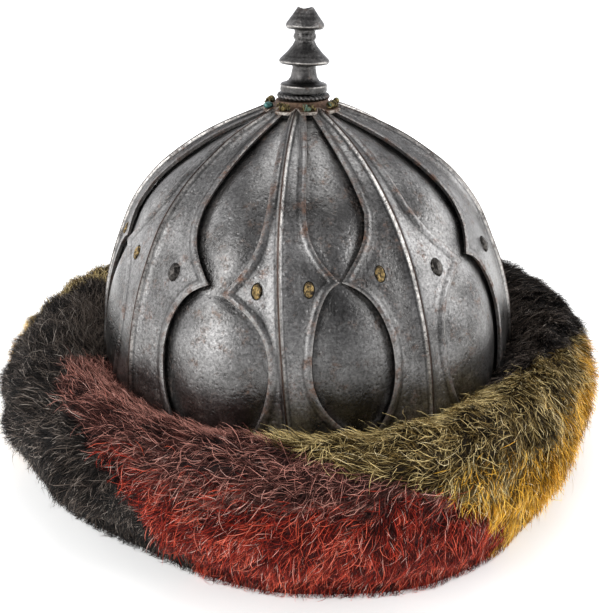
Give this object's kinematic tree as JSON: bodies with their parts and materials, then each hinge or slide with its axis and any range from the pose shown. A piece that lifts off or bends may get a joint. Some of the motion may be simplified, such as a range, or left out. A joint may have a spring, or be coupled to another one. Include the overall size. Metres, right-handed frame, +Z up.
{
  "type": "multi-plate helmet with a fur ring",
  "caption": "Domed iron helmet of ridged, cusped outer plates riveted over bulged inner plates, with a turned finial and a twisted ring of dyed fur around its rim.",
  "frame": {"origin": "centre of the bounding box at the surface the fur ring rests on", "axes": "+Z up through the finial, -Y to the front, +X to the right as seen from the front"},
  "size_m": [0.3052, 0.3031, 0.2071],
  "materials": {
    "worn_iron": "satin, pitted, worn bright on ridges and edges",
    "dark_iron": "satin, brown patina",
    "rusted_iron": "matt brown patina",
    "gilt_brass": "worn gilding",
    "tarnished_brass": "tarnished, with verdigris",
    "red_fur": "dyed fur",
    "gold_fur": "dyed fur",
    "black_fur": "dyed fur"
  },
  "bodies": {
    "root": {"outer_plate_1": "worn_iron", "outer_plate_2": "worn_iron", "outer_plate_3": "worn_iron", "outer_plate_4": "worn_iron", "outer_plate_5": "worn_iron", "outer_plate_6": "worn_iron", "outer_plate_7": "worn_iron", "outer_plate_8": "worn_iron", "inner_plate_1": "dark_iron", "inner_plate_2": "dark_iron", "inner_plate_3": "dark_iron", "inner_plate_4": "dark_iron", "inner_plate_5": "dark_iron", "inner_plate_6": "dark_iron", "inner_plate_7": "dark_iron", "inner_plate_8": "dark_iron", "plate_rivet_1": "worn_iron", "plate_rivet_2": "gilt_brass", "plate_rivet_3": "gilt_brass", "plate_rivet_4": "worn_iron", "plate_rivet_5": "gilt_brass", "plate_rivet_6": "gilt_brass", "plate_rivet_7": "gilt_brass", "plate_rivet_8": "worn_iron", "plate_rivet_9": "worn_iron", "plate_rivet_10": "gilt_brass", "plate_rivet_11": "worn_iron", "plate_rivet_12": "worn_iron", "plate_rivet_13": "worn_iron", "plate_rivet_14": "worn_iron", "plate_rivet_15": "worn_iron", "plate_rivet_16": "worn_iron", "crown_disc": "rusted_iron", "crown_rivet_1": "tarnished_brass", "crown_rivet_2": "tarnished_brass", "crown_rivet_3": "tarnished_brass", "crown_rivet_4": "tarnished_brass", "crown_rivet_5": "tarnished_brass", "crown_rivet_6": "tarnished_brass", "crown_rivet_7": "tarnished_brass", "crown_rivet_8": "tarnished_brass", "finial": "worn_iron", "finial_collar": "worn_iron", "fur_red_front": "red_fur", "fur_gold_right": "gold_fur", "fur_black_right": "black_fur", "fur_red_back": "red_fur", "fur_gold_left": "gold_fur", "fur_black_left": "black_fur"}
  },
  "joints": []
}
